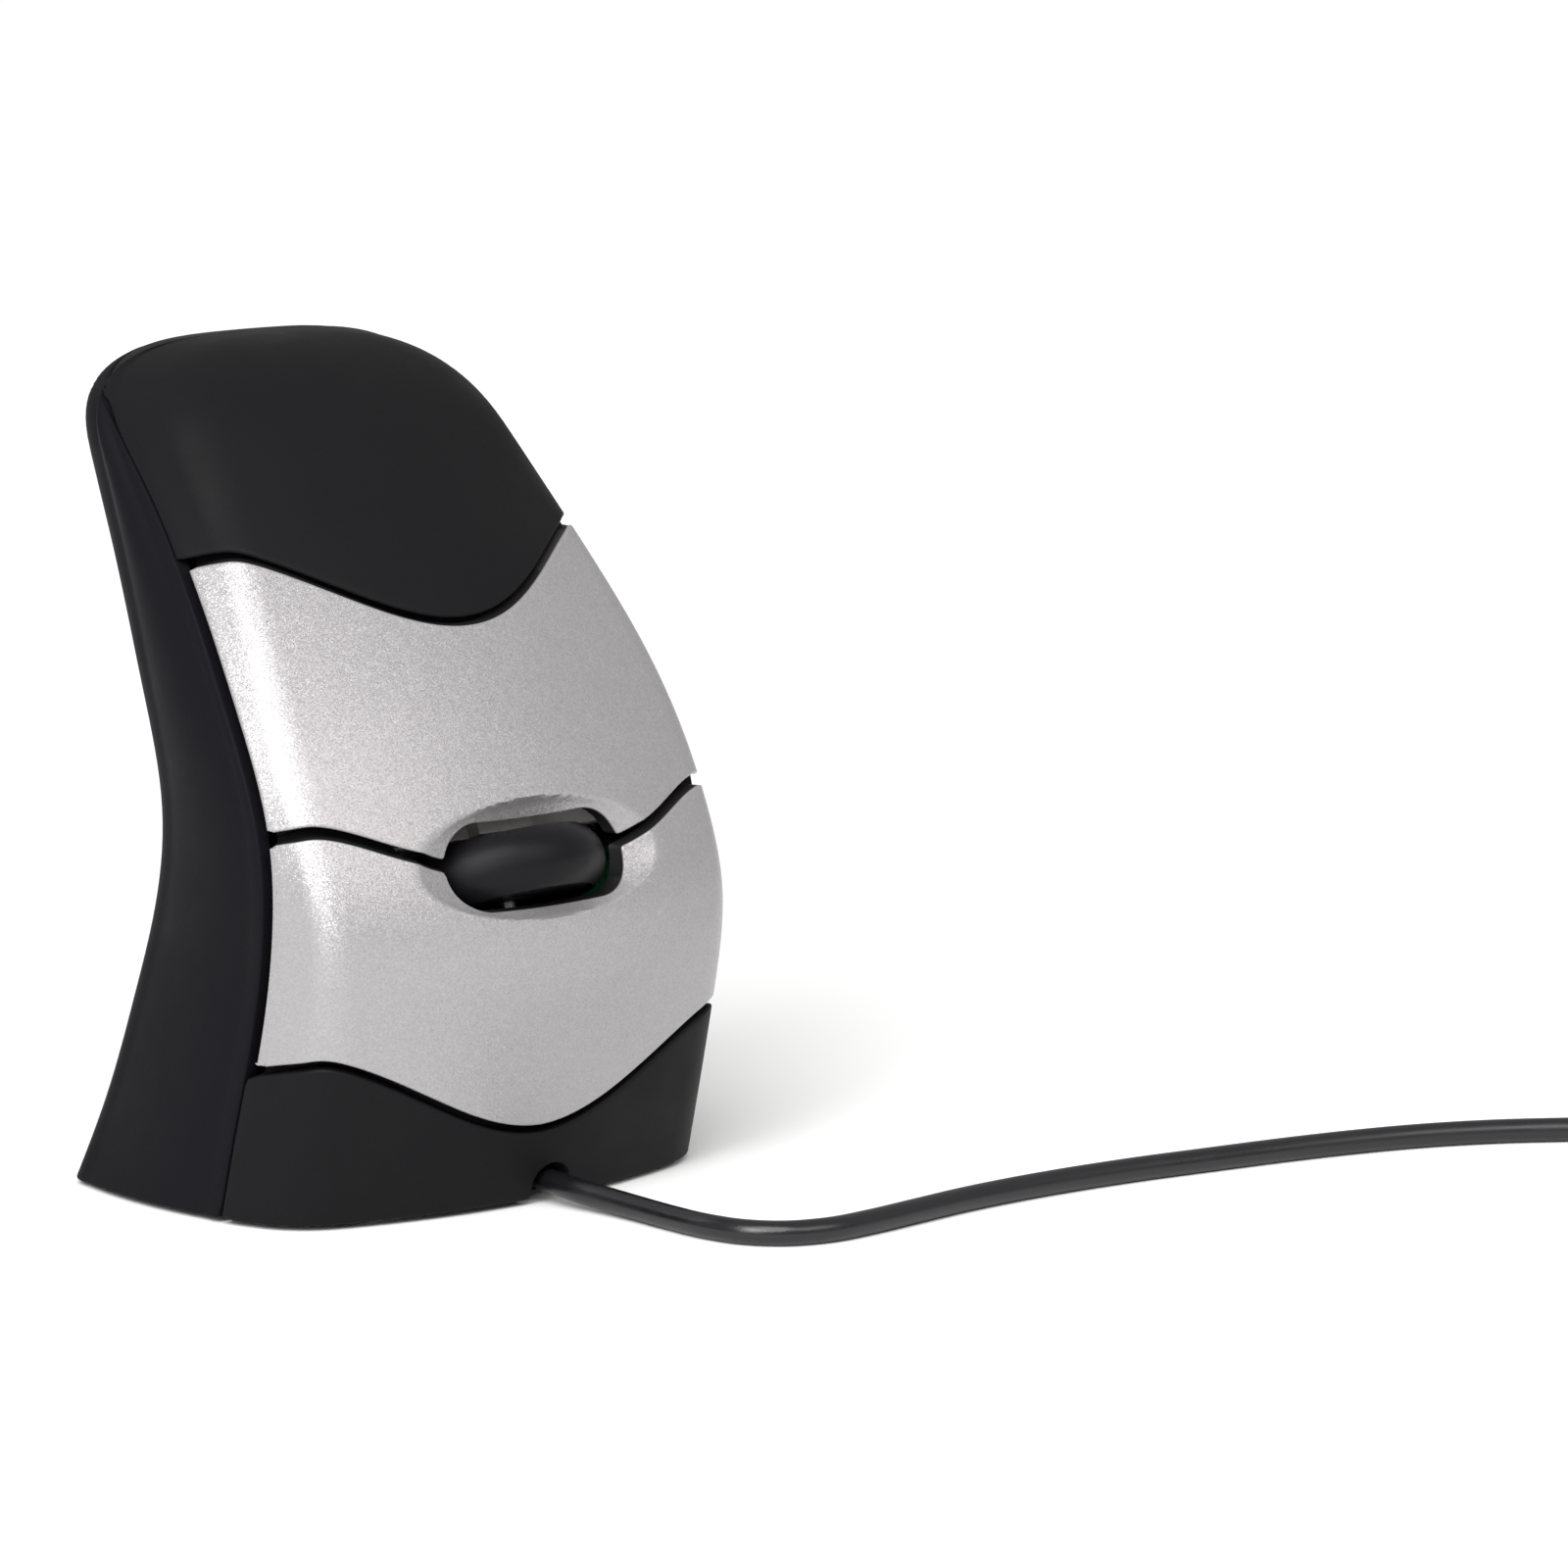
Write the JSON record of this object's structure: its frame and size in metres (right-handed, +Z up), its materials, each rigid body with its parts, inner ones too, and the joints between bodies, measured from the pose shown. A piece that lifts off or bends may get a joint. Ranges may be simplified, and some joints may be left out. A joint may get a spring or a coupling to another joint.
{
  "type": "computer mouse",
  "caption": "Upright fin-shaped wired mouse for either hand, with broad silver buttons and a scroll wheel on its front face.",
  "frame": {"origin": "on the desk, under the middle of the body's bounding box, cord left out", "axes": "+Z up; -Y out of the front face that carries the buttons and the wheel; +X to the right seen from the front"},
  "size_m": [0.2568, 0.1444, 0.1016],
  "materials": {
    "front_black": "soft-touch satin black",
    "side_black": "fine-textured matt black",
    "silver_paint": "silver metallic paint on plastic",
    "base_plastic": "moulded black",
    "inner_black": "moulded black",
    "inner_white": "moulded natural white",
    "glide": "low-friction white",
    "wheel_rubber": "smooth dark rubber",
    "steel": "plated",
    "board": "green solder mask",
    "plunger_red": "moulded red",
    "clear": "clear moulded lens",
    "cord_vinyl": "satin black jacket"
  },
  "bodies": {
    "housing": {"rear_shell": "side_black", "front_shell": "front_black", "base_plate": "base_plastic", "glide_foot_1": "glide", "glide_foot_2": "glide", "glide_foot_3": "glide", "glide_foot_4": "glide", "shell_screw_1": "steel", "shell_screw_2": "steel", "shell_screw_3": "steel", "shell_screw_4": "steel", "board_screw_1": "steel", "board_screw_2": "steel", "board_screw_3": "steel", "wheel_leaf_spring": "steel", "button_board": "board", "upper_switch_body": "inner_black", "lower_switch_body": "inner_black", "wheel_switch_body": "steel", "main_board": "board", "optical_sensor": "inner_black", "sensor_lens": "clear", "sensor_led": "clear", "cable_header": "inner_white", "cable_connector": "inner_white", "cable_grommet": "cord_vinyl", "inner_cable": "cord_vinyl", "board_link": "inner_black", "cord_tube": "cord_vinyl", "cord_coil": "cord_vinyl", "cord_tail": "cord_vinyl", "cord_tie": "inner_black", "plug_strain_relief": "cord_vinyl", "plug_body": "cord_vinyl", "plug_shell": "steel", "plug_tongue": "inner_white"},
    "upper_button": {"upper_button": "silver_paint"},
    "lower_button": {"lower_button": "silver_paint"},
    "upper_plunger": {"upper_switch_plunger": "plunger_red"},
    "lower_plunger": {"lower_switch_plunger": "plunger_red"},
    "wheel_carrier": {"wheel_carrier": "inner_white", "encoder_body": "inner_black"},
    "scroll_wheel": {"scroll_wheel_hub": "inner_black", "scroll_wheel_tyre": "wheel_rubber", "wheel_axle": "steel", "encoder_rotor": "inner_white"},
    "wheel_stem": {"wheel_switch_stem": "inner_black"}
  },
  "joints": [
    {"name": "upper_button_press", "type": "hinge", "parent": "housing", "child": "upper_button", "pos_m": [0, -0.00083, 0.079], "axis": [1, 0, 0], "range_deg": [0, 1], "stiffness_Nm_per_rad": 0.9},
    {"name": "lower_button_press", "type": "hinge", "parent": "housing", "child": "lower_button", "pos_m": [0, -0.02933, 0.012], "axis": [-1, 0, 0], "range_deg": [0, 1.3], "stiffness_Nm_per_rad": 0.6},
    {"name": "upper_plunger_travel", "type": "slide", "parent": "housing", "child": "upper_plunger", "axis": [0, 0.9272, -0.3746], "range_m": [0, 0.0005]},
    {"name": "lower_plunger_travel", "type": "slide", "parent": "housing", "child": "lower_plunger", "axis": [0, 0.9272, -0.3746], "range_m": [0, 0.0004]},
    {"name": "wheel_press", "type": "slide", "parent": "housing", "child": "wheel_carrier", "axis": [0, 0.9272, -0.3746], "range_m": [0, 0.0005], "stiffness_N_per_m": 1600},
    {"name": "wheel_stem_travel", "type": "slide", "parent": "housing", "child": "wheel_stem", "axis": [0, 0.9272, -0.3746], "range_m": [0, 0.0005]},
    {"name": "wheel_roll", "type": "hinge", "parent": "wheel_carrier", "child": "scroll_wheel", "pos_m": [0, -0.02208, 0.03954], "axis": [0, 0.3746, 0.9272], "continuous": true}
  ],
  "couplings": [
    {"joint": "upper_plunger_travel", "follows": "upper_button_press", "m_per_rad": 0.0265},
    {"joint": "lower_plunger_travel", "follows": "lower_button_press", "m_per_rad": 0.0146},
    {"joint": "wheel_stem_travel", "follows": "wheel_press", "ratio": 1}
  ]
}
